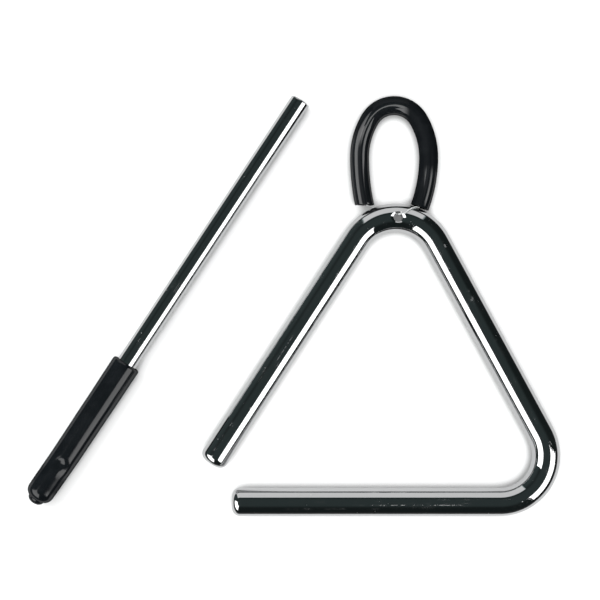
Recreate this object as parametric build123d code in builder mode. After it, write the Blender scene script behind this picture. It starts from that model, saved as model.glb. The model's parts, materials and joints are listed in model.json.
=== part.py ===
from build123d import *
import os
from math import acos, asin, atan2, cos, degrees, radians, sin

os.makedirs("parts", exist_ok=True)

# Triangle rod: one round bar with two bends and one open corner
rod_d = 9.0
side_len = 119.8  # closed side, between the corners of the centreline
corner_angle = 61.5
corner_open = 14.8  # how far each free leg stops short of the missing corner
bend_r = 14.9
nose_r = 2.0  # rounding of both free ends
hole_d = 3.0
sink_d = 4.8  # 90 degree countersink on both faces

# Finger loop: vinyl tube on a nylon line that runs through the hole
tube_d = 6.1
tube_bore = 3.0
loop_lean = 2.25  # turn of the loop from the middle line of the apex bend, as it lies
loop_shift = -1.0  # loop axis beside the hole, as it lies
loop_top = 36.1  # crown of the tube centreline above the hole
loop_half = 11.1
wide_share = 0.54  # height of the widest place, as a share of loop_top
crown_share = 0.814  # radius of the crown, as a share of loop_half
left_leg_r = 74.0
right_leg_r = 46.0
left_end_up = -0.5  # tube ends, above the top of the bend
right_end_up = -1.1
line_d = 0.4
line_gap = 0.16
knot_d = 2.4
knot_len = 3.2

# Beater: straight bar pushed into a dip-moulded grip
beater_d = 6.5
beater_len = 140.0
beater_edge = 0.5
beater_turn = -0.44  # from the heading of the left leg, as it lies
beater_ahead = 14.7  # tip from the hole, along the left leg
beater_aside = 46.52  # tip from the hole, across the left leg
grip_len = 52.2
grip_open_d = 9.2
grip_end_d = 8.85
grip_insert = 38.9  # how far the bar goes into the grip
grip_rim = 0.8
grip_dome = 3.0
grip_end_wall = 2.5
nub_d = 4.0
nub_len = 0.9
dimple_d = 3.2
dimple_deep = 0.45
dimple_at = 14.5  # from the closed end

rod_r = rod_d / 2
hole_r = hole_d / 2
sink_r = sink_d / 2
tube_r = tube_d / 2
bore_r = tube_bore / 2
line_r = line_d / 2
line_reach = rod_r + line_r + line_gap
beater_r = beater_d / 2

# Corners of the rod's centreline, measured from the hole at the middle of the apex bend
half_angle = radians(corner_angle / 2)
to_corner = bend_r / sin(half_angle)
side_heading = radians(-corner_angle)
leg_heading = radians(-2 * corner_angle)
leg_len = side_len * sin(radians(corner_angle)) / sin(radians(2 * corner_angle)) - corner_open
apex_up = radians(180 - 1.5 * corner_angle)
apex = ((to_corner - bend_r) * cos(apex_up), (to_corner - bend_r) * sin(apex_up))
corner = (apex[0] + side_len * cos(side_heading), apex[1] + side_len * sin(side_heading))
left_end = (apex[0] + leg_len * cos(leg_heading), apex[1] + leg_len * sin(leg_heading))
base_end = (corner[0] - leg_len, corner[1])

# Arcs of the loop's centreline: crown, two shoulders and two legs, each tangent to the next
loop_turn = apex_up - radians(90 - loop_lean)
loop_wide_at = wide_share * loop_top
crown_r = crown_share * loop_half
left_end_at = rod_r + left_end_up
right_end_at = rod_r + right_end_up
crown_y = loop_top - crown_r
rise = crown_y - loop_wide_at
shoulder_r = (loop_half**2 + rise**2 - crown_r**2) / (2 * (loop_half - crown_r))
shoulder_turn = degrees(asin(rise / (shoulder_r - crown_r)))
left_turn = degrees(asin((loop_wide_at - left_end_at) / left_leg_r))
right_turn = degrees(asin((loop_wide_at - right_end_at) / right_leg_r))
left_shoulder = (loop_shift - loop_half + shoulder_r, loop_wide_at)
right_shoulder = (loop_shift + loop_half - shoulder_r, loop_wide_at)
left_leg = (loop_shift - loop_half + left_leg_r, loop_wide_at)
right_leg = (loop_shift + loop_half - right_leg_r, loop_wide_at)

# Beater lies on its tip and on the rim of its grip
grip_open_r = grip_open_d / 2
grip_end_r = grip_end_d / 2
leg_up = (-cos(leg_heading), -sin(leg_heading))
beater_tip = (
    beater_ahead * leg_up[0] - beater_aside * leg_up[1],
    beater_ahead * leg_up[1] + beater_aside * leg_up[0],
)
heading = leg_heading + radians(180 + beater_turn)
shaft_out = beater_len - grip_insert
beater_tilt = atan2(grip_open_r - beater_r, shaft_out)
along = (cos(heading), sin(heading))
grip_mouth = (beater_tip[0] - shaft_out * along[0], beater_tip[1] - shaft_out * along[1])
grip_end = (grip_mouth[0] - grip_len * along[0], grip_mouth[1] - grip_len * along[1])

# Middle of everything on the table, which is the part's origin
right_x = corner[0] - to_corner * cos(half_angle) + bend_r + rod_r
left_x = grip_end[0] + grip_dome * along[0] - (grip_end_r - grip_dome) * along[1] - grip_dome
low_y = corner[1] - rod_r
crown_top = loop_shift * sin(loop_turn) + crown_y * cos(loop_turn) + crown_r + tube_r
high_y = max(crown_top, beater_tip[1] + (beater_r - beater_edge) * along[0] + beater_edge)
mid_x = (left_x + right_x) / 2
mid_y = (low_y + high_y) / 2


def at(point, height=0.0):
    """Put a point measured from the hole into the part's frame."""
    return (point[0] - mid_x, point[1] - mid_y, height)


def beside_rod(turn, tilt):
    """Point of the line on the apex bend, at a turn along the bend and a tilt up from its outer side."""
    out = bend_r + line_reach * cos(radians(tilt))
    x = out * sin(radians(turn)) - bend_r * sin(radians(loop_lean))
    y = out * cos(radians(turn)) - bend_r * cos(radians(loop_lean))
    return (x, y, rod_r + line_reach * sin(radians(tilt)) - tube_r)


def turn_of(point):
    """Turn along the apex bend at which a point of the loop lies."""
    x = point[0] + bend_r * sin(radians(loop_lean))
    y = point[1] + bend_r * cos(radians(loop_lean))
    return degrees(atan2(x, y))


hole = at((0, 0), rod_r)
loop_plane = Plane(origin=at((0, 0), tube_r), x_dir=(cos(loop_turn), sin(loop_turn), 0), z_dir=(0, 0, 1))
knot_at = loop_plane.from_local_coords((loop_shift, loop_top, 0))

with BuildPart() as triangle_rod:
    with BuildLine() as rod_path:
        bar_points = [at(point, rod_r) for point in (left_end, apex, corner, base_end)]
        FilletPolyline(bar_points, radius=bend_r)
    rod_wire = rod_path.wire()
    with BuildSketch(Plane(origin=rod_wire @ 0, z_dir=rod_wire % 0)):
        Circle(rod_r)
    sweep(path=rod_wire)
    free_ends = triangle_rod.faces().filter_by(GeomType.PLANE)
    fillet(free_ends.edges(), nose_r)
    with BuildSketch(Plane(origin=hole, x_dir=(1, 0, 0), z_dir=(0, -1, 0))):
        with BuildLine():
            Polyline(
                (0, -rod_r - hole_r),
                (sink_r + hole_r, -rod_r - hole_r),
                (hole_r, -rod_r + sink_r - hole_r),
                (hole_r, rod_r - sink_r + hole_r),
                (sink_r + hole_r, rod_r + hole_r),
                (0, rod_r + hole_r),
                close=True,
            )
        make_face()
    revolve(axis=Axis(hole, (0, 0, 1)), mode=Mode.SUBTRACT)
triangle_rod.part.label = "triangle_rod"
export_step(triangle_rod.part, "parts/triangle_rod.step")

with BuildPart() as loop_tube:
    with BuildLine(loop_plane) as tube_path:
        CenterArc(right_leg, right_leg_r, -right_turn, right_turn)
        CenterArc(right_shoulder, shoulder_r, 0, shoulder_turn)
        CenterArc((loop_shift, crown_y), crown_r, shoulder_turn, 180 - 2 * shoulder_turn)
        CenterArc(left_shoulder, shoulder_r, 180 - shoulder_turn, shoulder_turn)
        CenterArc(left_leg, left_leg_r, 180, left_turn)
    tube_wire = tube_path.wire()
    with BuildSketch(Plane(origin=tube_wire @ 0, z_dir=tube_wire % 0)):
        Circle(tube_r)
        Circle(bore_r, mode=Mode.SUBTRACT)
    sweep(path=tube_wire)
loop_tube.part.label = "loop_tube"
export_step(loop_tube.part, "parts/loop_tube.step")

# The line leaves both tube ends, comes over the rod on the right and under it on the left
tuck = 1.5 * tube_d  # how far inside the tube it starts to rise
right_tuck = degrees(asin((loop_wide_at - right_end_at - tuck) / right_leg_r))
left_tuck = degrees(asin((loop_wide_at - left_end_at - tuck) / left_leg_r))
knot_turn = degrees(knot_len / 4 / crown_r)
right_turn_r = radians(right_tuck)
left_turn_r = radians(left_tuck)
right_in = (right_leg[0] + right_leg_r * cos(right_turn_r), right_leg[1] - right_leg_r * sin(right_turn_r))
left_in = (left_leg[0] - left_leg_r * cos(left_turn_r), left_leg[1] - left_leg_r * sin(left_turn_r))
right_next = (right_in[0] - tube_d / 2 * sin(right_turn_r), right_in[1] - tube_d / 2 * cos(right_turn_r))
left_next = (left_in[0] + tube_d / 2 * sin(left_turn_r), left_in[1] - tube_d / 2 * cos(left_turn_r))
right_mouth = (
    right_leg[0] + right_leg_r * cos(radians(right_turn)) - bore_r / 4,
    right_end_at,
    bore_r * 0.65,
)
left_mouth = (
    left_leg[0] - left_leg_r * cos(radians(left_turn)) + bore_r / 2,
    left_end_at,
    -bore_r / 4,
)
in_hole = hole_r - line_r - line_gap
rim_turn = degrees(asin(sink_r / bend_r))
rim_tilt = degrees(acos(sink_r * 0.6 / line_reach))
side_tilt = degrees(asin(bore_r * 0.65 / line_reach))
mouth_turn = turn_of(right_mouth)
under_rim = (-sink_r / 8, sink_r)
under_turn = turn_of(left_mouth)
floor_gap = line_r + line_gap / 4


def over_rod(share):
    """Point of the line over the bar, from the hole's rim (share 0) to the bar's side (share 1)."""
    turn = rim_turn + share * (mouth_turn - rim_turn)
    return beside_rod(turn, rim_tilt + share * (side_tilt - rim_tilt))


with BuildPart() as loop_line:
    with BuildLine(loop_plane) as line_path:
        CenterArc((loop_shift, crown_y), crown_r, shoulder_turn, 90 - shoulder_turn - knot_turn)
        CenterArc(right_shoulder, shoulder_r, 0, shoulder_turn)
        CenterArc(right_leg, right_leg_r, -right_tuck, right_tuck)
        FilletPolyline(
            right_in,
            right_next,
            right_mouth,
            over_rod(1),
            over_rod(3 / 4),
            over_rod(2 / 4),
            over_rod(1 / 4),
            over_rod(0),
            (0, in_hole * 0.8, rod_d - (sink_r - hole_r) * 0.7 - tube_r),
            (0, in_hole * 0.8, floor_gap - tube_r),
            (under_rim[0], under_rim[1], floor_gap - tube_r),
            beside_rod(under_turn * 0.5, -rim_tilt * 0.6),
            left_mouth,
            left_next,
            left_in,
            radius=line_d,
        )
        CenterArc(left_leg, left_leg_r, 180, left_tuck)
        CenterArc(left_shoulder, shoulder_r, 180 - shoulder_turn, shoulder_turn)
        CenterArc((loop_shift, crown_y), crown_r, 90 + knot_turn, 90 - shoulder_turn - knot_turn)
    line_wire = line_path.wire()
    with BuildSketch(Plane(origin=line_wire @ 0, z_dir=line_wire % 0)):
        Circle(line_r)
    sweep(path=line_wire)
    with BuildSketch(Plane(origin=knot_at, x_dir=loop_plane.x_dir, z_dir=(0, 0, 1))):
        RectangleRounded(knot_len, knot_d, knot_d / 2.2)
        Rectangle(2 * knot_len, knot_d, align=(Align.CENTER, Align.MAX), mode=Mode.SUBTRACT)
    revolve(axis=Axis(knot_at, loop_plane.x_dir))
loop_line.part.label = "loop_line"
export_step(loop_line.part, "parts/loop_line.step")

# Beater frame: origin at the grip's mouth, z towards the tip, x up
tip_dir = (along[0] * cos(beater_tilt), along[1] * cos(beater_tilt), -sin(beater_tilt))
up_dir = (along[0] * sin(beater_tilt), along[1] * sin(beater_tilt), cos(beater_tilt))
beater_plane = Plane(origin=at(grip_mouth, grip_open_r * cos(beater_tilt)), x_dir=up_dir, z_dir=tip_dir)
profile_plane = Plane(origin=beater_plane.origin, x_dir=up_dir, z_dir=beater_plane.y_dir * -1)
beater_axis = Axis(beater_plane.origin, tip_dir)

with BuildPart() as beater_rod:
    with BuildSketch(beater_plane.offset(-grip_insert)):
        Circle(beater_r)
    extrude(amount=beater_len)
    tip_edges = beater_rod.edges().filter_by(GeomType.CIRCLE)
    fillet(tip_edges, beater_edge)
beater_rod.part.label = "beater_rod"
export_step(beater_rod.part, "parts/beater_rod.step")

with BuildPart() as beater_grip:
    with BuildSketch(profile_plane):
        with BuildLine():
            Polyline((0, 0), (grip_open_r, 0), (grip_end_r, -grip_len), (0, -grip_len), close=True)
        make_face()
        rim_corner = vertices().filter_by(lambda v: v.X > grip_end_r / 2).sort_by(Axis.Y)[-1]
        fillet(rim_corner, grip_rim)
        dome_corner = vertices().filter_by(lambda v: v.X > grip_end_r / 2).sort_by(Axis.Y)[0]
        fillet(dome_corner, grip_dome)
    revolve(axis=beater_axis)
    with BuildSketch(beater_plane.offset(-grip_len - nub_len)):
        Circle(nub_d / 2)
    extrude(amount=nub_len + grip_dome / 2)
    nub_edge = beater_grip.edges().filter_by(GeomType.CIRCLE).sort_by(beater_axis)[0]
    fillet(nub_edge, nub_len * 0.8)
    with BuildSketch(beater_plane):
        Circle(beater_r)
    extrude(amount=-(grip_len - grip_end_wall), mode=Mode.SUBTRACT)
    dimple_ball = (dimple_d**2 / 4 + dimple_deep**2) / (2 * dimple_deep)
    dimple_r = grip_open_r + (grip_end_r - grip_open_r) * (grip_len - dimple_at) / grip_len
    with Locations(beater_plane * Pos(dimple_r - dimple_deep + dimple_ball, 0, dimple_at - grip_len)):
        Sphere(dimple_ball, mode=Mode.SUBTRACT)
beater_grip.part.label = "beater_grip"
export_step(beater_grip.part, "parts/beater_grip.step")

print("hole", hole)
print("nose ends", at(left_end, rod_r), at(base_end, rod_r), "headings", degrees(leg_heading), 180)
print("beater mouth", tuple(beater_plane.origin), "towards", tip_dir)
print("tube length", tube_wire.length, "line length", line_wire.length)
print("line volume", loop_line.part.volume, "line section", line_wire.length * line_r**2 * 3.14159265)
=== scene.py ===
import json
from math import acos, asin, cos, pi, radians, sin

import bpy
from bpy.props import FloatProperty, FloatVectorProperty, PointerProperty
from mathutils import Matrix, Vector


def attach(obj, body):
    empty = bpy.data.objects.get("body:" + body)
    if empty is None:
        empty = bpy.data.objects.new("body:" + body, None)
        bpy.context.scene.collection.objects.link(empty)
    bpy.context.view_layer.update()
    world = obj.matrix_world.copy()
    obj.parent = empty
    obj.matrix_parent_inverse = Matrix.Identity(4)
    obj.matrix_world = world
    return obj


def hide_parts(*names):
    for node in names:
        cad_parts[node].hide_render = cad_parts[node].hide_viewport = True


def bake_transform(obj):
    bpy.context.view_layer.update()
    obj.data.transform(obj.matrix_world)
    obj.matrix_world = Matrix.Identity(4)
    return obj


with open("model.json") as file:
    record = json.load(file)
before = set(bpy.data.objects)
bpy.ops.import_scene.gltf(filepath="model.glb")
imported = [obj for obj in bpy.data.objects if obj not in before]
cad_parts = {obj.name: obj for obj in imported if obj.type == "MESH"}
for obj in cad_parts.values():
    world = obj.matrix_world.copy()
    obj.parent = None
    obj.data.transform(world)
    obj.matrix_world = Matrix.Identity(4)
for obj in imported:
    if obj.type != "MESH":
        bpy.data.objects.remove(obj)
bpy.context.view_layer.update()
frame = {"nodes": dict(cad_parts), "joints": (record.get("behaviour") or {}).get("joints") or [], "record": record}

bl_info = {
    "name": "Triangle instrument",
    "version": (1, 0, 0),
    "blender": (4, 5, 0),
    "location": "View3D > Sidebar > Triangle",
    "description": "Makes a chromed triangle with its finger loop and its beater, and the stage for them",
    "category": "Object",
}

MM = 0.001
# Points closer than this become one
WELD = 0.001 * MM
# A positive angle of mesh.spin turns clockwise, seen from above
SPIN = -1
JOINTS = {joint["name"]: joint for joint in frame["joints"]}
MOUNTS = {mount["name"]: mount for mount in frame["record"]["mounts"]}
HOLE = Vector(JOINTS["loop_swivel"]["pos_m"])
LEFT_LEG = MOUNTS["left_leg_end"]
SHAFT = MOUNTS["beater_shaft"]
TIP_WAY = Vector(SHAFT["axis"]).normalized()
# The mount beater_shaft lies this far in front of the grip's mouth
MOUNT_OUT = 50 * MM
GRIP_MOUTH = Vector(SHAFT["pos_m"]) - TIP_WAY * MOUNT_OUT

# Vertices round each piece, steps along it, and the angles over which its edges stay sharp
BAR_RING = 96
HOLE_RING = 72
TUBE_RING = 56
GRIP_RING = 112
NOSE_STEPS = 24
EDGE_STEPS = 6
CORNER_STEPS = 56
APEX_STEPS = 72
TUBE_STEP = 0.7 * MM
RIM_STEPS = 5
BARREL_STEPS = 90
DOME_STEPS = 9
METAL_SHARP = radians(32)
VINYL_SHARP = radians(50)

# Rings of the grip's nub: (share of its length, share of its radius)
NUB_RINGS = ((0.2, 0.97), (0.42, 0.9), (0.64, 0.78), (0.82, 0.62), (0.94, 0.42), (1.0, 0.16))

# How much the marks along a run are packed: along it, across it and upwards
MARKS_PACKED = (0.03, 3.6, 3.6)

# Scuffs on the triangle's plate: (run, middle x and y, half length, half width, roughness), in millimetres
BASE_RUN, SIDE_RUN, LEFT_RUN = range(3)
SCUFFS = (
    (BASE_RUN, 37.3, -63.65, 22.0, 0.22, 0.34),
    (SIDE_RUN, 55.7, 2.8, 2.6, 1.1, 0.28),
    (SIDE_RUN, 47.5, 19.2, 1.5, 0.4, 0.5),
    (LEFT_RUN, -3.3, -14.1, 7.2, 0.22, 0.28),
)

# Soft boxes: (name, azimuth and elevation in degrees, share of brightness, group that casts shadows)
BOXES = (
    ("box_south_east", -33, 35, 1, "frame_only"),
    ("box_south_west", 200, 35, 2, "frame_only"),
    ("box_north_west", 146, 46, 5, "beater_only"),
)
BOX_AWAY = 0.8
BOX_SIZE = (0.6, 0.6)
BOX_AIM = (0, 0, 0.02)

# The overhead lamp
FILL_PLACE = (0, 0, 1.2)
FILL_SIZE = (1.5, 1.5)

# Cards: (name, azimuth, half width, low and high edge), all in degrees
CARDS = (
    ("card_south_east", -26.5, 23.5, 18, 58),
    ("card_south_west", 209.5, 38.5, 18, 60),
)
CARD_AWAY = 3.0

# Lamps that only the loop receives: (name, azimuth and elevation in degrees, size)
SHEENS = (
    ("loop_west", 200, 51, (1.2, 0.52)),
    ("loop_high", 158, 70, (0.16, 0.18)),
    ("loop_top", 238, 83, (0.2, 0.32)),
    ("loop_east", -4, 47, (0.2, 0.3)),
)
SHEEN_AWAY = 0.6
SHEEN_SHARE = 1.3

# Width of the camera's sensor in millimetres, as Blender counts it
SENSOR = 36.0
WHITE = (1, 1, 1, 1)
BLACK = (0, 0, 0, 1)


class Val:
    """A shader socket, so that sums on it can be written as Python."""

    def __init__(self, tree, socket):
        self.tree = tree
        self.socket = socket

    def node(self, kind, settings=None, out=0, **inputs):
        """Any node: its settings first, then values or links for its sockets, by name or by s0, s1."""
        made = self.tree.nodes.new(kind)
        for key, value in (settings or {}).items():
            setattr(made, key, value)
        for key, value in inputs.items():
            index = int(key[1:]) if key[0] == "s" and key[1:].isdigit() else key.replace("_", " ")
            socket = made.inputs[index]
            if isinstance(value, Val):
                self.tree.links.new(value.socket, socket)
            else:
                socket.default_value = value
        return Val(self.tree, made.outputs[out])

    def math(self, operation, *values):
        inputs = {f"s{i}": value for i, value in enumerate(values)}
        return self.node("ShaderNodeMath", {"operation": operation}, **inputs)

    def __add__(self, other):
        return self.math("ADD", self, other)

    def __sub__(self, other):
        return self.math("SUBTRACT", self, other)

    def __rsub__(self, other):
        return self.math("SUBTRACT", other, self)

    def __mul__(self, other):
        return self.math("MULTIPLY", self, other)

    def __rmul__(self, other):
        return self.math("MULTIPLY", other, self)

    def largest(self, other):
        return self.math("MAXIMUM", self, other)

    def absolute(self):
        return self.math("ABSOLUTE", self)

    def axis(self, index):
        """One coordinate of a vector: 0 is x, 1 is y, 2 is z."""
        return self.node("ShaderNodeSeparateXYZ", out=index, s0=self)

    def along(self, way):
        """How far a vector goes along a way."""
        settings = {"operation": "DOT_PRODUCT"}
        return self.node("ShaderNodeVectorMath", settings, out=1, s0=self, s1=tuple(way))

    def mapped(self, **inputs):
        """A vector turned about z, or scaled."""
        return self.node("ShaderNodeMapping", {"vector_type": "POINT"}, Vector=self, **inputs)

    def ramp(self, low, high, start=0.0, end=1.0):
        """Smooth step from start to end as this value goes from low to high."""
        settings = {"interpolation_type": "SMOOTHSTEP"}
        return self.node("ShaderNodeMapRange", settings, s0=self, s1=low, s2=high, s3=start, s4=end)

    def fall(self, low, high, start=1.0):
        """Smooth step down from start to 0 as this value goes from low to high."""
        return self.ramp(low, high, start, 0.0)

    def mix(self, first, second):
        """Colour between first and second, with this value as the factor."""
        return self.node("ShaderNodeMix", {"data_type": "RGBA"}, out=2, s0=self, s6=first, s7=second)


def new_material(name):
    """A material with one glossy shader: (material, shader, object coordinates in millimetres)."""
    made = bpy.data.materials.new(name)
    made.use_nodes = True
    tree = made.node_tree
    shader = tree.nodes["Principled BSDF"]
    coords = tree.nodes.new("ShaderNodeTexCoord")
    place = Val(tree, coords.outputs["Object"])
    scaled = place.node("ShaderNodeVectorMath", {"operation": "SCALE"}, s0=place, Scale=1 / MM)
    return made, shader, scaled


def feed(shader, socket, value):
    """Sets a shader's socket, or links a value to it."""
    if isinstance(value, Val):
        value.tree.links.new(value.socket, shader.inputs[socket])
    else:
        shader.inputs[socket].default_value = value


def noise(place, scale, detail, rough):
    """Cloudy noise from 0 to 1, most of it near 0.5."""
    return place.node("ShaderNodeTexNoise", Vector=place, Scale=scale, Detail=detail, Roughness=rough)


def shaded(colour, share, lift=0.0):
    """A colour times a share, lifted a little, and opaque."""
    return tuple(min(1.0, value * share + lift) for value in colour[:3]) + (1.0,)


def scuffed(place, runs, scuffs):
    """Roughness that single scuffs add, patchy and each turned along its run."""
    total = 0.0
    for run, x, y, long, wide, rough in scuffs:
        turn = runs[run][0]
        turned = place.mapped(Rotation=(0, 0, turn))
        along = turned.axis(0) - (x * cos(turn) - y * sin(turn))
        aside = turned.axis(1) - (x * sin(turn) + y * cos(turn))
        scuff = along.absolute().fall(long / 2, long, rough) * aside.absolute().fall(wide / 2, wide)
        total = scuff + total
    return total * noise(place, scale=0.4, detail=3.0, rough=0.6).ramp(0.38, 0.6)


def chrome_material(name, look, runs, scuffs=()):
    """Bright, slightly cloudy plate with specks, and fine marks along each run: (turn, a point on it)."""
    made, shader, place = new_material(name)
    cloud = noise(place, scale=0.11, detail=4.0, rough=0.55)
    fine = noise(place, scale=2.4, detail=3.0, rough=0.6)
    marks = None
    for turn, point in runs:
        turned = place.mapped(Rotation=(0, 0, turn))
        off = turned.axis(1) - (point.x * sin(turn) + point.y * cos(turn)) / MM
        packed = turned.mapped(Scale=MARKS_PACKED)
        streak = noise(packed, scale=1.0, detail=2.0, rough=0.5).ramp(0.56, 0.7)
        streak = streak * off.absolute().fall(5.0, 6.5)
        marks = streak if marks is None else marks.largest(streak)
    wear = marks * noise(place, scale=0.25, detail=2.0, rough=0.5).ramp(0.42, 0.7)
    dots = place.node("ShaderNodeTexVoronoi", Vector=place, Scale=0.6)
    dusty = noise(place, scale=0.45, detail=1.0, rough=0.5).ramp(0.58, 0.64)
    specks = (1 - dots.ramp(0.1, 0.16)) * dusty
    dull = shaded(look.colour, 0.8)
    feed(shader, "Base Color", (wear * 0.3 + specks * 0.2).mix(look.colour, dull))
    feed(shader, "Metallic", 1.0)
    plate = cloud.ramp(0.3, 0.7, look.clear_rough, look.cloudy_rough)
    worn = wear * look.wear_rough + specks * look.speck_rough
    feed(shader, "Roughness", plate + worn + scuffed(place, runs, scuffs))
    bump = place.node("ShaderNodeBump", Strength=0.03, Distance=0.03 * MM, Height=fine + marks * 0.4)
    feed(shader, "Normal", bump)
    return made


def vinyl_material(name, colour, rough, grain, dull):
    """Black vinyl: faint bloom, fine grain, a few dust specks and, where dull gives 1, no gloss."""
    made, shader, place = new_material(name)
    bloom = noise(place, scale=0.16, detail=4.0, rough=0.6).ramp(0.4, 0.75)
    fine = noise(place, scale=grain, detail=4.0, rough=0.6)
    dots = place.node("ShaderNodeTexVoronoi", Vector=place, Scale=1.3)
    dusty = noise(place, scale=0.9, detail=1.0, rough=0.5).ramp(0.64, 0.7)
    specks = (1 - dots.ramp(0.04, 0.09)) * dusty
    pale = shaded(colour, 1.6, lift=0.003)
    feed(shader, "Base Color", (bloom * 0.5 + specks * 0.5).mix(colour, pale))
    feed(shader, "Roughness", bloom * 0.04 + fine * 0.03 + specks * 0.15 + rough)
    shader.inputs["Specular IOR Level"].default_value = 0.0
    shader.inputs["Coat Roughness"].default_value = rough
    rim = place.node("ShaderNodeLayerWeight", out=1, Blend=0.5)
    gloss = (0.97 - specks * 0.3 - bloom * 0.06) * rim.ramp(0.3, 0.75, 1.0, 0.15)
    feed(shader, "Coat Weight", gloss * (1 - dull(place)))
    waves = noise(place, scale=0.3, detail=2.0, rough=0.5)
    bump = place.node("ShaderNodeBump", Strength=0.06, Distance=0.1 * MM, Height=fine * 0.25 + waves)
    feed(shader, "Normal", bump)
    return made


def nylon_material(name, colour, rough):
    """Clear nylon line, milky in places."""
    made, shader, place = new_material(name)
    cloud = noise(place, scale=0.8, detail=3.0, rough=0.5)
    milky = shaded(colour, 0.82)
    feed(shader, "Base Color", cloud.ramp(0.35, 0.7).mix(colour, milky))
    feed(shader, "Roughness", cloud * 0.15 + rough)
    shader.inputs["IOR"].default_value = 1.53
    shader.inputs["Transmission Weight"].default_value = 0.45
    return made


def set_material(obj, made):
    """Gives an object one material."""
    obj.data.materials.clear()
    obj.data.materials.append(made)


def deselect():
    """Goes back to object mode with nothing selected."""
    if bpy.context.object and bpy.context.object.mode != "OBJECT":
        bpy.ops.object.mode_set(mode="OBJECT")
    bpy.ops.object.select_all(action="DESELECT")


def finish_piece(piece, name, body, slot, *nodes):
    """Names a new piece, hands it to its body, and hides the nodes that it stands for. The slot is not used."""
    piece.name = name
    piece.data.name = name
    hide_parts(*nodes)
    if body:
        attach(piece, body)


class ChromeSettings(bpy.types.PropertyGroup):
    """The two plated bars: the triangle's and the beater's."""

    rod_r: FloatProperty(
        name="Bar radius", description="Radius of the triangle's bar", unit="LENGTH", default=4.5 * MM)
    bend_r: FloatProperty(
        name="Bend", description="Radius of both bends, at the bar's middle", unit="LENGTH",
        default=14.9 * MM)
    corner_angle: FloatProperty(
        name="Corner", description="Angle between two legs", subtype="ANGLE", default=radians(61.5))
    side_len: FloatProperty(
        name="Side", description="Length of the closed side, corner to corner", unit="LENGTH",
        default=119.8 * MM)
    corner_open: FloatProperty(
        name="Open corner", description="How far both legs stop short of the open corner", unit="LENGTH",
        default=14.8 * MM)
    nose_r: FloatProperty(
        name="Nose", description="Rounding of the free ends", unit="LENGTH", default=2.5 * MM)
    hole_r: FloatProperty(
        name="Hole", description="Radius of the cross hole", unit="LENGTH", default=1.5 * MM)
    hole_over: FloatProperty(
        name="Hole overrun", description="How far the hole's cutter sticks out", unit="LENGTH",
        default=1.0 * MM)
    sink_r: FloatProperty(
        name="Countersink", description="Radius of the hole's countersinks", unit="LENGTH",
        default=2.4 * MM)
    sink_tilt: FloatProperty(
        name="Countersink tilt", description="Slope of the countersinks", subtype="ANGLE",
        default=radians(32))
    beater_r: FloatProperty(
        name="Beater radius", description="Radius of the beater's bar", unit="LENGTH",
        default=3.25 * MM)
    beater_bare: FloatProperty(
        name="Bare beater", description="Beater's bar from the grip's mouth to the tip", unit="LENGTH",
        default=101.1 * MM)
    beater_held: FloatProperty(
        name="Held beater", description="Beater's bar inside the grip", unit="LENGTH", default=38.9 * MM)
    beater_edge: FloatProperty(
        name="Beater edge", description="Rounding of both ends of the beater's bar", unit="LENGTH",
        default=0.5 * MM)
    colour: FloatVectorProperty(
        name="Plate", description="Colour of the chrome plate", subtype="COLOR", size=4,
        default=(0.6, 0.605, 0.61, 1.0), min=0.0, max=1.0)
    clear_rough: FloatProperty(
        name="Clear roughness", description="Roughness of the clearest plate", subtype="FACTOR",
        default=0.03)
    cloudy_rough: FloatProperty(
        name="Cloudy roughness", description="Roughness of the cloudiest plate", subtype="FACTOR",
        default=0.06)
    wear_rough: FloatProperty(
        name="Wear", description="Roughness that worn marks add", subtype="FACTOR", default=0.24)
    speck_rough: FloatProperty(
        name="Specks", description="Roughness that specks add", subtype="FACTOR", default=0.3)
    beater_turn: FloatProperty(
        name="Beater turn", description="Turn of the beater, which the fine marks follow",
        subtype="ANGLE", default=radians(-56.45))


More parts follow.
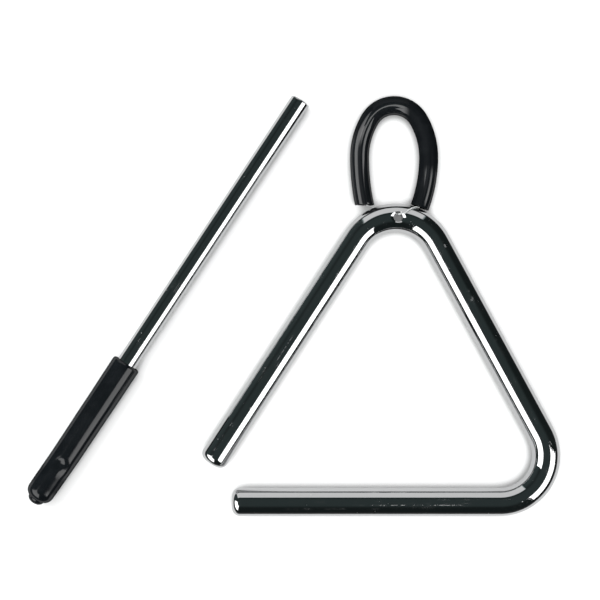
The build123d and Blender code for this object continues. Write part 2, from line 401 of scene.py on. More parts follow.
class LoopSettings(bpy.types.PropertyGroup):
    """Finger loop of vinyl tube on its nylon line."""

    vinyl: FloatVectorProperty(
        name="Tube colour", description="Colour of the vinyl tube", subtype="COLOR", size=4,
        default=(0.0028, 0.0034, 0.004, 1.0), min=0.0, max=1.0)
    vinyl_rough: FloatProperty(
        name="Tube roughness", description="Roughness of the vinyl tube", subtype="FACTOR",
        default=0.05)
    vinyl_grain: FloatProperty(
        name="Tube grain", description="Fineness of the vinyl tube's grain", default=6.0)
    tube_d: FloatProperty(
        name="Tube diameter", description="Outer diameter of the tube", unit="LENGTH", default=6.1 * MM)
    tube_bore: FloatProperty(
        name="Bore", description="Inner diameter of the tube", unit="LENGTH", default=3.0 * MM)
    cut_edge: FloatProperty(
        name="Cut edge", description="Rounding of the cut ends", unit="LENGTH", default=0.22 * MM)
    shift: FloatProperty(
        name="Shift", description="Loop's middle line beside the hole", unit="LENGTH", default=-1.0 * MM)
    top: FloatProperty(
        name="Top", description="Crown of the tube's middle line above the hole", unit="LENGTH",
        default=36.1 * MM)
    half: FloatProperty(
        name="Half width", description="Half the loop's width, between middle lines", unit="LENGTH",
        default=11.1 * MM)
    wide_at: FloatProperty(
        name="Wide at", description="Height of the widest place above the hole", unit="LENGTH",
        default=0.54 * 36.1 * MM)
    crown_r: FloatProperty(
        name="Crown", description="Radius of the crown", unit="LENGTH", default=0.814 * 11.1 * MM)
    left_r: FloatProperty(
        name="Left leg", description="Radius of the left leg", unit="LENGTH", default=74 * MM)
    right_r: FloatProperty(
        name="Right leg", description="Radius of the right leg", unit="LENGTH", default=46 * MM)
    left_end: FloatProperty(
        name="Left end", description="Height of the left end above the hole before its cut", unit="LENGTH",
        default=2.6 * MM)
    left_cut: FloatProperty(
        name="Left cut", description="Height of the left end's level cut above the hole", unit="LENGTH",
        default=4.2 * MM)
    right_end: FloatProperty(
        name="Right end", description="Height of the right cut end above the hole", unit="LENGTH",
        default=3.4 * MM)
    nylon: FloatVectorProperty(
        name="Line", description="Colour of the nylon line", subtype="COLOR", size=4,
        default=(0.86, 0.87, 0.87, 1.0), min=0.0, max=1.0)
    nylon_rough: FloatProperty(
        name="Line roughness", description="Roughness of the nylon line", subtype="FACTOR", default=0.22)


class GripSettings(bpy.types.PropertyGroup):
    """Dip-moulded grip of the beater."""

    vinyl: FloatVectorProperty(
        name="Grip colour", description="Colour of the dipped vinyl", subtype="COLOR", size=4,
        default=(0.0042, 0.0054, 0.0066, 1.0), min=0.0, max=1.0)
    rough: FloatProperty(
        name="Grip roughness", description="Roughness of the dipped vinyl", subtype="FACTOR",
        default=0.12)
    grain: FloatProperty(
        name="Grip grain", description="Fineness of the dipped vinyl's grain", default=4.0)
    length: FloatProperty(
        name="Length", description="Mouth to closed end, without the nub", unit="LENGTH",
        default=52.2 * MM)
    bore_r: FloatProperty(
        name="Bore radius", description="Radius of the bar inside the grip", unit="LENGTH",
        default=3.25 * MM)
    bore_deep: FloatProperty(
        name="Bore depth", description="How far the bore is modelled inwards", unit="LENGTH",
        default=6 * MM)
    open_r: FloatProperty(
        name="Mouth radius", description="Outer radius at the mouth", unit="LENGTH", default=4.7 * MM)
    end_r: FloatProperty(
        name="End radius", description="Outer radius at the closed end", unit="LENGTH",
        default=4.45 * MM)
    rim: FloatProperty(
        name="Rim", description="Rounding of the mouth", unit="LENGTH", default=0.8 * MM)
    dome: FloatProperty(
        name="Dome", description="Rounding of the closed end", unit="LENGTH", default=3.0 * MM)
    nub_r: FloatProperty(
        name="Nub radius", description="Radius of the drip nub", unit="LENGTH", default=2.7 * MM)
    nub_len: FloatProperty(
        name="Nub length", description="Length of the drip nub", unit="LENGTH", default=1.4 * MM)
    dimple_at: FloatProperty(
        name="Dimple", description="Dimple from the mouth", unit="LENGTH", default=37.7 * MM)
    dimple_deep: FloatProperty(
        name="Dimple depth", description="Depth of the dimple", unit="LENGTH", default=0.5 * MM)
    bent: FloatProperty(
        name="Bent", description="How far the slack end leans sideways", unit="LENGTH",
        default=0.4 * MM)
    bent_reach: FloatProperty(
        name="Bent reach", description="How far up the grip that lean goes", unit="LENGTH",
        default=22 * MM)
    waves: FloatProperty(
        name="Waves", description="Height of the faint waves", unit="LENGTH", default=0.07 * MM)
    wave_len: FloatProperty(
        name="Wave length", description="Length of the faint waves", unit="LENGTH", default=9 * MM)


class StageSettings(bpy.types.PropertyGroup):
    """Camera, floor and lights."""

    middle: FloatVectorProperty(
        name="Middle", description="Point under the camera", subtype="TRANSLATION", unit="LENGTH",
        size=2, default=(HOLE.x - 31.25 * MM, HOLE.y - 26.38 * MM))
    view_width: FloatProperty(
        name="View width", description="Width of the picture at the bar's height", unit="LENGTH",
        default=192.3 * MM)
    camera_height: FloatProperty(
        name="Camera height", description="Camera above the bar's middle", unit="LENGTH",
        default=500 * MM)
    bar_height: FloatProperty(
        name="Bar height", description="Middle of the bar above the floor", unit="LENGTH",
        default=4.5 * MM)
    floor: FloatVectorProperty(
        name="Floor", description="Colour of the floor", subtype="COLOR", size=4,
        default=(0.9, 0.905, 0.905, 1.0), min=0.0, max=1.0)
    floor_mirrored: FloatProperty(
        name="Floor mirrored", description="Share of the floor's brightness in mirror view",
        subtype="FACTOR", default=0.68)
    # Painted contact shade: an occlusion node darkens the floor's colour near the bars, down to this share
    contact: FloatProperty(
        name="Contact", description="Share of the floor's brightness where a bar meets it",
        subtype="FACTOR", default=0.5)
    contact_reach: FloatProperty(
        name="Contact reach", description="How far contact shade reaches", unit="LENGTH",
        default=4 * MM)
    floor_low: FloatProperty(
        name="Floor low", description="Slant under which the floor shows dark in mirror view",
        subtype="ANGLE", default=radians(11))
    floor_soft: FloatProperty(
        name="Floor soft", description="Half the angle over which that dark sets in", subtype="ANGLE",
        default=0.05)
    floor_dark: FloatProperty(
        name="Floor dark", description="Brightness of the floor where it shows dark", default=0.04, min=0.0)
    card: FloatProperty(
        name="Cards", description="Brightness of the two white cards in mirror view", default=2.8,
        min=0.0)
    wall: FloatProperty(
        name="Wall", description="Brightness of the pale wall in mirror view", default=0.83, min=0.0)
    room: FloatVectorProperty(
        name="Room", description="Colour of the dim room in mirror view", subtype="COLOR", size=4,
        default=(0.74, 1.0, 1.0, 1.0), min=0.0, max=1.0)
    sky: FloatProperty(
        name="Sky", description="Soft light from all round", default=0.45, min=0.0)
    fill: FloatProperty(
        name="Fill", description="Brightness of the overhead lamp", default=1.9, min=0.0)
    box: FloatProperty(
        name="Box", description="Brightness of the soft boxes on the floor", default=0.55, min=0.0)


def grow(way, middle, radius, rounds):
    """Extrudes the selected ring along way for each (length, new radius), and gives the last middle."""
    for length, new_r in rounds:
        step = way * length
        bpy.ops.mesh.extrude_region_move(TRANSFORM_OT_translate={"value": step})
        middle = middle + step
        if new_r != radius:
            share = new_r / radius
            bpy.ops.transform.resize(value=(share, share, share), center_override=middle)
            radius = new_r
    return middle


def nose_rounds(bar_r, edge_r, count):
    """Steps of a rounded end that widens to the bar's radius: (length, new radius)."""
    turns = [radians(90 * step / count) for step in range(count + 1)]
    return [(edge_r * (cos(last) - cos(turn)), bar_r - edge_r * (1 - sin(turn)))
            for last, turn in zip(turns, turns[1:])]


def closing_rounds(bar_r, edge_r, count):
    """The same steps in the other direction, for the far end of a bar."""
    turns = [radians(90 * step / count) for step in range(count + 1)]
    return [(edge_r * (sin(turn) - sin(last)), bar_r - edge_r * (1 - cos(turn)))
            for last, turn in zip(turns, turns[1:])]


def first_ring(radius, place, way, count=BAR_RING):
    """A filled ring across way, in edit mode with all of it selected."""
    deselect()
    turn = Vector(way).to_track_quat("Z", "Y").to_euler()
    bpy.ops.mesh.primitive_circle_add(vertices=count, radius=radius, location=place, rotation=turn,
                                      fill_type="NGON")
    made = bpy.context.object
    bpy.ops.object.transform_apply(location=True, rotation=True, scale=True)
    bpy.ops.object.mode_set(mode="EDIT")
    bpy.ops.mesh.select_all(action="SELECT")
    return made


def close_bar(bar):
    """Welds the finished bar and turns its faces outward."""
    bpy.ops.mesh.select_all(action="SELECT")
    bpy.ops.mesh.remove_doubles(threshold=WELD)
    bpy.ops.mesh.normals_make_consistent(inside=False)
    bpy.ops.object.mode_set(mode="OBJECT")
    top = max(bar.data.polygons, key=lambda face: face.center.z)
    if top.normal.z < 0:
        raise RuntimeError("a bar is inside out")


class TRIANGLE_OT_bar(bpy.types.Operator):
    """Make the bent bar of the triangle"""

    bl_idname = "triangle.bar"
    bl_label = "Make the triangle's bar"

    def execute(self, context):
        look = context.scene.triangle_chrome
        half = look.corner_angle / 2
        back = look.bend_r / sin(half)
        reach = look.bend_r / (sin(half) / cos(half))
        apex_way = Vector((cos(pi - 3 * half), sin(pi - 3 * half), 0))
        apex_middle = HOLE - look.bend_r * apex_way
        apex = apex_middle + back * apex_way
        corner = apex + look.side_len * Vector((cos(2 * half), -sin(2 * half), 0))
        corner_middle = corner + back * Vector((-cos(half), sin(half), 0))
        east = Vector((1, 0, 0))
        side_way = Vector((-cos(2 * half), sin(2 * half), 0))
        leg_way = Vector(LEFT_LEG["axis"])
        leg_len = look.side_len / (2 * cos(2 * half)) - look.corner_open
        start = corner - east * leg_len
        flat_r = look.rod_r - look.nose_r
        bar = first_ring(flat_r, start, east)
        place = grow(east, start, flat_r, nose_rounds(look.rod_r, look.nose_r, NOSE_STEPS))
        place = grow(east, place, look.rod_r, [(corner.x - reach - place.x, look.rod_r)])
        turn = SPIN * (pi - 2 * half)
        bpy.ops.mesh.spin(steps=CORNER_STEPS, angle=turn, center=corner_middle, axis=(0, 0, 1))
        place = corner + side_way * reach
        grow(side_way, place, look.rod_r, [(look.side_len - 2 * reach, look.rod_r)])
        bpy.ops.mesh.spin(steps=APEX_STEPS, angle=turn, center=apex_middle, axis=(0, 0, 1))
        place = apex + leg_way * reach
        place = grow(leg_way, place, look.rod_r, [(leg_len - reach - look.nose_r, look.rod_r)])
        grow(leg_way, place, look.rod_r, closing_rounds(look.rod_r, look.nose_r, NOSE_STEPS))
        close_bar(bar)
        self.drill(bar, look)
        bpy.ops.object.shade_smooth_by_angle(angle=METAL_SHARP)
        runs = ((0.0, corner), (2 * half, corner), (4 * half - pi, apex))
        set_material(bar, chrome_material("triangle_chrome_plate", look, runs, SCUFFS))
        finish_piece(bar, "triangle_bar", "triangle", "triangle_chrome", "triangle_rod")
        return {"FINISHED"}

    def drill(self, bar, look):
        """Cut the cross hole and its two countersinks."""
        slope = sin(look.sink_tilt) / cos(look.sink_tilt)
        deep = (look.sink_r - look.hole_r) * slope
        up = Vector((0, 0, 1))
        wide = look.sink_r + look.hole_over / slope
        start = Vector((HOLE.x, HOLE.y, -look.hole_over))
        cutter = first_ring(wide, start, up, HOLE_RING)
        cone = look.hole_over + deep
        middle = 2 * look.rod_r - 2 * deep
        grow(up, start, wide, [(cone, look.hole_r), (middle, look.hole_r), (cone, wide)])
        close_bar(cutter)
        deselect()
        bpy.context.view_layer.objects.active = bar
        bar.select_set(True)
        cut = bar.modifiers.new("hole", "BOOLEAN")
        cut.object = cutter
        cut.operation = "DIFFERENCE"
        cut.solver = "EXACT"
        bpy.ops.object.modifier_apply(modifier="hole")
        bpy.data.objects.remove(cutter)


class TRIANGLE_OT_beater(bpy.types.Operator):
    """Make the straight bar of the beater"""

    bl_idname = "triangle.beater"
    bl_label = "Make the beater's bar"

    def execute(self, context):
        look = context.scene.triangle_chrome
        edge_r = look.beater_r - look.beater_edge
        start = GRIP_MOUTH - TIP_WAY * look.beater_held
        bar = first_ring(edge_r, start, TIP_WAY)
        place = grow(TIP_WAY, start, edge_r, nose_rounds(look.beater_r, look.beater_edge, EDGE_STEPS))
        run = look.beater_held + look.beater_bare - 2 * look.beater_edge
        place = grow(TIP_WAY, place, look.beater_r, [(run, look.beater_r)])
        grow(TIP_WAY, place, look.beater_r, closing_rounds(look.beater_r, look.beater_edge, EDGE_STEPS))
        close_bar(bar)
        bpy.ops.object.shade_smooth_by_angle(angle=METAL_SHARP)
        runs = ((look.beater_turn, GRIP_MOUTH),)
        set_material(bar, chrome_material("beater_chrome_plate", look, runs))
        finish_piece(bar, "beater_bar", "beater", "beater_chrome", "beater_rod")
        return {"FINISHED"}


class TRIANGLE_OT_loop(bpy.types.Operator):
    """Make the vinyl tube of the finger loop"""

    bl_idname = "triangle.loop"
    bl_label = "Make the finger loop"

    def execute(self, context):
        look = context.scene.triangle_loop
        tube_r = look.tube_d / 2
        rise = look.top - look.crown_r - look.wide_at
        shoulder_r = (look.half**2 + rise**2 - look.crown_r**2) / (2 * (look.half - look.crown_r))
        shoulder = asin(rise / (shoulder_r - look.crown_r))
        right = asin((look.wide_at - look.right_end) / look.right_r)
        left = asin((look.wide_at - look.left_end) / look.left_r)
        middle = HOLE.x + look.shift
        wide_y = HOLE.y + look.wide_at
        arcs = (
            (middle + look.half - look.right_r, wide_y, look.right_r, right),
            (middle + look.half - shoulder_r, wide_y, shoulder_r, shoulder),
            (middle, HOLE.y + look.top - look.crown_r, look.crown_r, pi - 2 * shoulder),
            (middle - look.half + shoulder_r, wide_y, shoulder_r, shoulder),
            (middle - look.half + look.left_r, wide_y, look.left_r, left),
        )
        start = (arcs[0][0] + look.right_r * cos(right), HOLE.y + look.right_end, tube_r)
        deselect()
        bpy.ops.mesh.primitive_circle_add(
            vertices=TUBE_RING, radius=tube_r, location=start, rotation=(-pi / 2, 0, -right))
        tube = context.object
        bpy.ops.object.transform_apply(location=True, rotation=True, scale=True)
        bpy.ops.object.mode_set(mode="EDIT")
        bpy.ops.mesh.select_mode(type="VERT")
        bpy.ops.mesh.select_all(action="SELECT")
        for x, y, radius, turn in arcs:
            steps = max(8, round(turn * radius / TUBE_STEP))
            bpy.ops.mesh.spin(steps=steps, angle=SPIN * turn, center=(x, y, tube_r), axis=(0, 0, 1))
        bpy.ops.mesh.select_all(action="SELECT")
        bpy.ops.mesh.remove_doubles(threshold=WELD)
        bpy.ops.mesh.normals_make_consistent(inside=False)
        self.cut_left(tube, look)
        outer = max(tube.data.polygons, key=lambda face: face.center.z)
        if outer.normal.z < 0:
            bpy.ops.object.mode_set(mode="EDIT")
            bpy.ops.mesh.select_all(action="SELECT")
            bpy.ops.mesh.flip_normals()
            bpy.ops.object.mode_set(mode="OBJECT")
        wall = tube.modifiers.new("wall", "SOLIDIFY")
        wall.thickness = tube_r - look.tube_bore / 2
        wall.offset = -1
        edge = tube.modifiers.new("cut edge", "BEVEL")
        edge.width = look.cut_edge
        edge.segments = 3
        edge.limit_method = "ANGLE"
        edge.angle_limit = radians(60)
        for name in ("wall", "cut edge"):
            bpy.ops.object.modifier_apply(modifier=name)
        bpy.ops.object.shade_smooth_by_angle(angle=VINYL_SHARP)
        vinyl = vinyl_material(
            "loop_vinyl_black", look.vinyl, look.vinyl_rough, look.vinyl_grain, self.rubbed)
        set_material(tube, vinyl)
        finish_piece(tube, "finger_loop_tube", "loop", "loop_vinyl", "loop_tube")
        return {"FINISHED"}

    def cut_left(self, tube, look):
        """Cut the left end level."""
        bpy.ops.mesh.select_mode(type="FACE")
        bpy.ops.mesh.select_all(action="DESELECT")
        bpy.ops.object.mode_set(mode="OBJECT")
        for face in tube.data.polygons:
            face.select = face.center.x < HOLE.x and face.center.y < HOLE.y + look.wide_at / 2
        bpy.ops.object.mode_set(mode="EDIT")
        cut = (HOLE.x, HOLE.y + look.left_cut, 0)
        bpy.ops.mesh.bisect(plane_co=cut, plane_no=(0, 1, 0), clear_inner=True)
        bpy.ops.mesh.select_mode(type="VERT")
        bpy.ops.object.mode_set(mode="OBJECT")

    def rubbed(self, place):
        """Dull share: right leg but for its low outer side, crown's outer side, left leg's ridge."""
        x = place.axis(0) - HOLE.x / MM
        y = place.axis(1) - HOLE.y / MM
        outer_low = x.ramp(8.2, 9.2) * y.fall(12.0, 17.0)
        right = x.ramp(1.5, 4.0) * (1 - outer_low) * 0.98
        facing = place.tree.nodes.new("ShaderNodeNewGeometry")
        normal = Val(place.tree, facing.outputs["Normal"])
        crown = normal.axis(1).ramp(0.1, 0.3) * y.ramp(20.0, 26.0) * 0.85
        ridge = normal.axis(2).ramp(0.95, 0.98) * y.fall(22.0, 27.0) * 0.95
        return right.largest(crown.largest(ridge))


class TRIANGLE_OT_line(bpy.types.Operator):
    """Make the nylon line that holds the loop"""

    bl_idname = "triangle.line"
    bl_label = "Make the nylon line"

    def execute(self, context):
        look = context.scene.triangle_loop
        deselect()
        line = bpy.data.objects.new("nylon_line", frame["nodes"]["loop_line"].data.copy())
        context.scene.collection.objects.link(line)
        context.view_layer.objects.active = line
        line.select_set(True)
        bpy.ops.object.mode_set(mode="EDIT")
        bpy.ops.mesh.select_all(action="SELECT")
        bpy.ops.mesh.remove_doubles(threshold=WELD)
        bpy.ops.object.mode_set(mode="OBJECT")
        bpy.ops.object.shade_smooth()
        set_material(line, nylon_material("line_nylon_clear", look.nylon, look.nylon_rough))
        finish_piece(line, "nylon_line", None, "line_nylon", "loop_line")
        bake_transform(line)
        return {"FINISHED"}


class TRIANGLE_OT_grip(bpy.types.Operator):
    """Make the beater's grip"""

    bl_idname = "triangle.grip"
    bl_label = "Make the grip"

    def profile(self, look):
        """Rings of the grip from inside the mouth to the nub: (place along the axis, radius)."""
        rings = [(-look.bore_deep, look.bore_r), (-1 * MM, look.bore_r)]
        rings += [(-0.15 * MM, look.bore_r + 0.05 * MM), (0, look.bore_r + 0.3 * MM)]
        rings.append((0, look.open_r - look.rim))
        for step in range(1, RIM_STEPS + 1):
            turn = radians(90 - 90 * step / RIM_STEPS)
            rings.append((-look.rim * (1 - sin(turn)), look.open_r - look.rim * (1 - cos(turn))))
        barrel = look.length - look.dome
        for step in range(1, BARREL_STEPS + 1):
            place = look.rim + (barrel - look.rim) * step / BARREL_STEPS
            rings.append((-place, look.open_r + (look.end_r - look.open_r) * place / look.length))
        last = acos(1 - (look.end_r - look.nub_r) / look.dome)
        for step in range(1, DOME_STEPS + 1):
            turn = last * step / DOME_STEPS
            rings.append((-barrel - look.dome * sin(turn), look.end_r - look.dome * (1 - cos(turn))))
        base = barrel + look.dome * sin(last)
        tall = look.length + look.nub_len - base
        for up, share in NUB_RINGS:
            rings.append((-base - tall * up, look.nub_r * share))
        return rings

    def execute(self, context):
        look = context.scene.triangle_grip
        rings = self.profile(look)
        deselect()
        place, radius = rings[0]
        bpy.ops.mesh.primitive_circle_add(vertices=GRIP_RING, radius=radius, location=(0, 0, place))
        grip = context.object
        bpy.ops.object.transform_apply(location=True, rotation=True, scale=True)
        bpy.ops.object.mode_set(mode="EDIT")
        bpy.ops.mesh.select_all(action="SELECT")
        for (last, last_r), (place, radius) in zip(rings, rings[1:]):
            bpy.ops.mesh.extrude_region_move(TRANSFORM_OT_translate={"value": (0, 0, place - last)})
            share = radius / last_r
            bpy.ops.transform.resize(value=(share, share, 1), center_override=(0, 0, place))
        bpy.ops.mesh.edge_face_add()
        bpy.ops.mesh.select_all(action="SELECT")
        bpy.ops.mesh.normals_make_consistent(inside=False)
        self.dent(grip, look)
        bpy.ops.object.mode_set(mode="OBJECT")
        side = max(grip.data.polygons, key=lambda face: face.center.x)
        if side.normal.x < 0:
            raise RuntimeError("the grip is inside out")
        clouds = bpy.data.textures.new("dipped_waves", "CLOUDS")
        clouds.noise_scale = look.wave_len
        waves = grip.modifiers.new("waves", "DISPLACE")
        waves.texture = clouds
        waves.texture_coords = "LOCAL"
        waves.strength = look.waves
        waves.mid_level = 0.5
        bpy.ops.object.modifier_apply(modifier="waves")
        up = (Vector((0, 0, 1)) - TIP_WAY * TIP_WAY.z).normalized()
        turn = Matrix((up, TIP_WAY.cross(up), TIP_WAY)).transposed()
        grip.matrix_world = Matrix.Translation(GRIP_MOUTH) @ turn.to_4x4()
        bpy.ops.object.transform_apply(location=True, rotation=True, scale=True)
        bpy.ops.object.shade_smooth_by_angle(angle=VINYL_SHARP)
        vinyl = vinyl_material("grip_vinyl_black", look.vinyl, look.rough, look.grain, self.slack)
        set_material(grip, vinyl)
        finish_piece(grip, "beater_handgrip", "beater", "grip_vinyl", "beater_grip")
        return {"FINISHED"}

    def slack(self, place):
        """Dull share of the slack stretch between the bar's end and the domed end."""
        along = place.along(-TIP_WAY) - GRIP_MOUTH.dot(-TIP_WAY) / MM
        return along.ramp(40.5, 43.0) * along.fall(46.5, 48.5) * 0.6

    def dent(self, grip, look):
        """Press the dimple and the slack place beside it, and lean the slack end sideways."""
        dimple = (look.end_r, 0.3 * MM, -look.dimple_at)
        beside = (look.end_r, 1.6 * MM, -look.dimple_at - 1.2 * MM)
        tip = (0.0, 0.0, -look.length - look.nub_len)
        pushes = (
            (dimple, (-look.dimple_deep, 0, 0), 2.4 * MM),
            (beside, (-0.22 * MM, -0.1 * MM, 0), 3.4 * MM),
            (tip, (0, -look.bent, 0), look.bent_reach),
        )
        for place, push, reach in pushes:
            bpy.ops.mesh.select_all(action="DESELECT")
            bpy.ops.object.mode_set(mode="OBJECT")
            near = min(grip.data.vertices, key=lambda v: (v.co - Vector(place)).length)
            near.select = True
            bpy.ops.object.mode_set(mode="EDIT")
            bpy.ops.mesh.select_mode(type="VERT")
            bpy.ops.transform.translate(
                value=push, use_proportional_edit=True, proportional_edit_falloff="SMOOTH",
                proportional_size=reach)


def area_lamp(name, place, aim, size, radiance, mirrored=True):
    """A soft lamp of a given brightness, in mirror view or not."""
    data = bpy.data.lights.new(name, "AREA")
    data.shape = "RECTANGLE"
    data.size, data.size_y = size
    data.energy = radiance * pi * size[0] * size[1]
    lamp = bpy.data.objects.new(name, data)
    bpy.context.scene.collection.objects.link(lamp)
    lamp.location = place
    lamp.rotation_euler = (Vector(aim) - Vector(place)).to_track_quat("-Z", "Y").to_euler()
    lamp.visible_glossy = mirrored
    lamp.visible_camera = False
    return lamp


def around(azimuth, elevation, distance, middle=(0, 0, 0)):
    """Point at an azimuth from +X, an elevation and a distance from the middle."""
    a, e = radians(azimuth), radians(elevation)
    way = Vector((cos(e) * cos(a), cos(e) * sin(a), sin(e)))
    return Vector(middle) + distance * way


def light_path(tree):
    """1 for what the camera sees, what mirrors show and what shows through, as three values."""
    path = tree.nodes.new("ShaderNodeLightPath")
    return [Val(tree, path.outputs[f"Is {kind} Ray"]) for kind in ("Camera", "Glossy", "Transmission")]


def floor_material(look):
    """White floor with lamp shadows and painted contact shade, and a plain white backdrop far off. In mirror view,
    dark at a low slant.
    """
    made = bpy.data.materials.new("floor_white")
    made.use_nodes = True
    tree = made.node_tree
    tree.nodes.remove(tree.nodes["Principled BSDF"])
    seen, mirrored = light_path(tree)[:2]
    facing = tree.nodes.new("ShaderNodeNewGeometry")
    back = Val(tree, facing.outputs["Incoming"])
    slant = back.axis(2) - back.axis(1).ramp(0.7, 0.9, 0.0, 0.16)
    steep = look.floor_low + look.floor_soft
    low = mirrored * slant.fall(sin(look.floor_low - look.floor_soft), sin(steep))
    # Painted contact shade: an occlusion node darkens the floor's colour near the bars
    near = seen.node("ShaderNodeAmbientOcclusion", {"samples": 16}, out=1, Distance=look.contact_reach)
    coords = tree.nodes.new("ShaderNodeTexCoord")
    place = Val(tree, coords.outputs["Object"])
    aside = Vector((-TIP_WAY.y, TIP_WAY.x, 0)).normalized()
    # The painted shade is kept in full, but only a fifth of it northwest of the line of the beater's axis
    painted_shade_share = (place.along(aside) - GRIP_MOUTH.dot(aside)).ramp(0.0, 2 * MM, 1.0, 0.2)
    shade = (1 - near.ramp(0.4, 0.78, look.contact, 1.0)) * painted_shade_share
    lit = (1 - shade) * (1 - mirrored * (1 - look.floor_mirrored))
    white = seen.node("ShaderNodeBsdfDiffuse", Color=lit.mix(BLACK, look.floor))
    dark = seen.node("ShaderNodeEmission", Color=WHITE, Strength=look.floor_dark)
    both = seen.node("ShaderNodeMixShader", s0=low, s1=white, s2=dark)
    away = place.node("ShaderNodeVectorMath", {"operation": "LENGTH"}, out=1, s0=place)
    backdrop = seen.node("ShaderNodeEmission", Color=WHITE, Strength=1.0)
    shown = seen.node("ShaderNodeMixShader", s0=seen * away.ramp(0.18, 0.4), s1=both, s2=backdrop)
    tree.links.new(shown.socket, tree.nodes["Material Output"].inputs["Surface"])
    return made


def studio_world(look):
    """White to the camera. In mirror view: a dim room with a pale wall to the north."""
    world = bpy.data.worlds.new("studio")
    world.use_nodes = True
    tree = world.node_tree
    seen, mirrored, through = light_path(tree)
    coords = tree.nodes.new("ShaderNodeTexCoord")
    way = Val(tree, coords.outputs["Generated"])
    x, y, z = (way.axis(i) for i in range(3))
    north_west = (y * 0.54 - x * 0.84).ramp(0.5, 0.95) * 0.04
    room = z.ramp(0.7, 0.95, 0.016, 0.046) + north_west
    off_north = x.math("ARCTAN2", x, y).absolute()
    wall = off_north.fall(radians(32.0), radians(35.0)) * z.ramp(0.04, 0.08) * z.fall(0.72, 0.76)
    shown = room + wall * look.wall
    open_sky = seen.math("MAXIMUM", seen, through)
    strength = open_sky + (1 - open_sky) * (mirrored * shown + (1 - mirrored) * look.sky)
    tree.links.new(strength.socket, tree.nodes["Background"].inputs["Strength"])
    tint = (mirrored * (1 - wall)).mix(WHITE, look.room)
    tree.links.new(tint.socket, tree.nodes["Background"].inputs["Color"])
    return world


def mirror_card(name, turn, half, low, high, radiance, receivers):
    """A white card far off, only in mirror view: azimuth, half width, low and high edge in degrees."""
    deselect()
    bpy.ops.mesh.primitive_uv_sphere_add(segments=180, ring_count=90, radius=CARD_AWAY)
    made = bpy.context.object
    made.name = name
    bpy.ops.object.mode_set(mode="EDIT")
    bpy.ops.mesh.select_mode(type="FACE")
    bpy.ops.object.mode_set(mode="OBJECT")
    ahead = Vector((cos(radians(turn)), sin(radians(turn))))
    for face in made.data.polygons:
        place = face.center.normalized()
        flat = Vector((place.x, place.y)).normalized()
        across = flat.dot(ahead) > cos(radians(half))
        face.select = not (across and sin(radians(low)) < place.z < sin(radians(high)))
    bpy.ops.object.mode_set(mode="EDIT")
    bpy.ops.mesh.delete(type="FACE")
    bpy.ops.mesh.select_mode(type="VERT")
    bpy.ops.object.mode_set(mode="OBJECT")
    paint = bpy.data.materials.new(name)
    paint.use_nodes = True
    tree = paint.node_tree
    tree.nodes.remove(tree.nodes["Principled BSDF"])
    shine = tree.nodes.new("ShaderNodeEmission")
    shine.inputs["Strength"].default_value = radiance
    tree.links.new(shine.outputs[0], tree.nodes["Material Output"].inputs["Surface"])
    set_material(made, paint)
    made.visible_camera = False
    made.visible_diffuse = False
    made.visible_shadow = False
    made.visible_transmission = False
    made.light_linking.receiver_collection = receivers


def group_of(name, *pieces):
    """A collection of finished pieces, for lights that only they receive or block."""
    made = bpy.data.collections.new(name)
    for piece in pieces:
        made.objects.link(bpy.data.objects[piece])
    return made


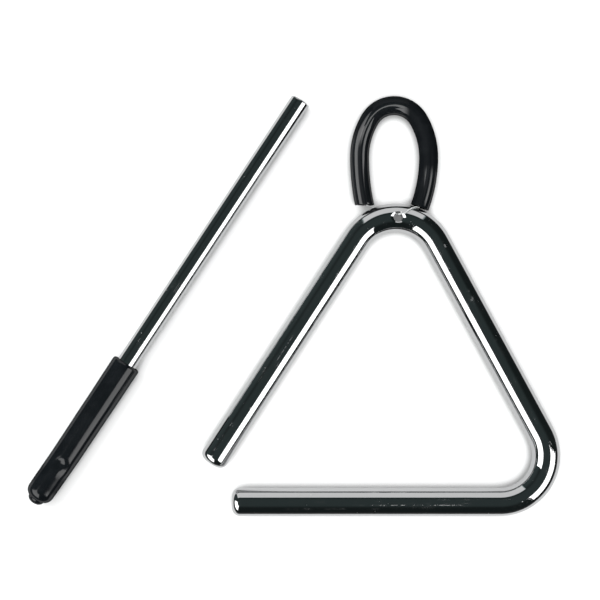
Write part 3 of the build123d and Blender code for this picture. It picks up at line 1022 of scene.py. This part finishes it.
class TRIANGLE_OT_stage(bpy.types.Operator):
    """Set the camera, the floor and the lights"""

    bl_idname = "triangle.stage"
    bl_label = "Set the stage"

    def execute(self, context):
        look = context.scene.triangle_stage
        scene = context.scene
        data = bpy.data.cameras.new("camera")
        data.sensor_width = SENSOR
        data.lens = SENSOR * look.camera_height / look.view_width
        data.clip_start = 0.01
        camera = bpy.data.objects.new("camera", data)
        scene.collection.objects.link(camera)
        camera.location = (look.middle[0], look.middle[1], look.camera_height + look.bar_height)
        scene.camera = camera

        deselect()
        bpy.ops.mesh.primitive_plane_add(size=6.0)
        floor = context.object
        floor.name = "floor"
        set_material(floor, floor_material(look))
        scene.world = studio_world(look)

        area_lamp("overhead_fill", FILL_PLACE, (0, 0, 0), FILL_SIZE, look.fill, mirrored=False)
        blockers = {
            "frame_only": group_of("frame_only", "triangle_bar", "finger_loop_tube", "nylon_line"),
            "beater_only": group_of("beater_only", "beater_bar", "beater_handgrip"),
        }
        for name, turn, rise, share, group in BOXES:
            place = around(turn, rise, BOX_AWAY)
            box = area_lamp(name, place, BOX_AIM, BOX_SIZE, look.box * share, mirrored=False)
            box.light_linking.blocker_collection = blockers[group]
        mirrors = group_of("mirrors", "triangle_bar", "beater_bar", "beater_handgrip")
        for name, turn, half, low, high in CARDS:
            mirror_card(name, turn, half, low, high, look.card, mirrors)
        loop_only = group_of("loop_only", "finger_loop_tube")
        loop_middle = (HOLE.x, HOLE.y + 20 * MM, HOLE.z)
        for name, turn, rise, size in SHEENS:
            place = around(turn, rise, SHEEN_AWAY, loop_middle)
            sheen = area_lamp(name, place, loop_middle, size, look.card * SHEEN_SHARE)
            sheen.light_linking.receiver_collection = loop_only

        scene.view_settings.view_transform = "Standard"
        return {"FINISHED"}


class TRIANGLE_PT_sidebar(bpy.types.Panel):
    """Lists the steps and their sizes"""

    bl_idname = "TRIANGLE_PT_sidebar"
    bl_label = "Triangle"
    bl_space_type = "VIEW_3D"
    bl_region_type = "UI"
    bl_category = "Triangle"

    def draw(self, context):
        for group, step in STEPS:
            box = self.layout.box()
            box.operator(step.bl_idname)
            settings = getattr(context.scene, group)
            for key in settings.bl_rna.properties.keys():
                if key not in ("rna_type", "name"):
                    box.prop(settings, key)


SETTINGS = {
    "triangle_chrome": ChromeSettings,
    "triangle_loop": LoopSettings,
    "triangle_grip": GripSettings,
    "triangle_stage": StageSettings,
}
STEPS = (
    ("triangle_chrome", TRIANGLE_OT_bar),
    ("triangle_chrome", TRIANGLE_OT_beater),
    ("triangle_loop", TRIANGLE_OT_loop),
    ("triangle_loop", TRIANGLE_OT_line),
    ("triangle_grip", TRIANGLE_OT_grip),
    ("triangle_stage", TRIANGLE_OT_stage),
)


def register():
    for key, group in SETTINGS.items():
        bpy.utils.register_class(group)
        setattr(bpy.types.Scene, key, PointerProperty(type=group))
    for _, step in STEPS:
        bpy.utils.register_class(step)
    bpy.utils.register_class(TRIANGLE_PT_sidebar)


def unregister():
    bpy.utils.unregister_class(TRIANGLE_PT_sidebar)
    for _, step in reversed(STEPS):
        bpy.utils.unregister_class(step)
    for key, group in reversed(SETTINGS.items()):
        delattr(bpy.types.Scene, key)
        bpy.utils.unregister_class(group)


def main():
    register()
    bpy.ops.triangle.bar()
    bpy.ops.triangle.beater()
    bpy.ops.triangle.loop()
    bpy.ops.triangle.line()
    bpy.ops.triangle.grip()
    bpy.ops.triangle.stage()


if __name__ == "__main__":
    main()
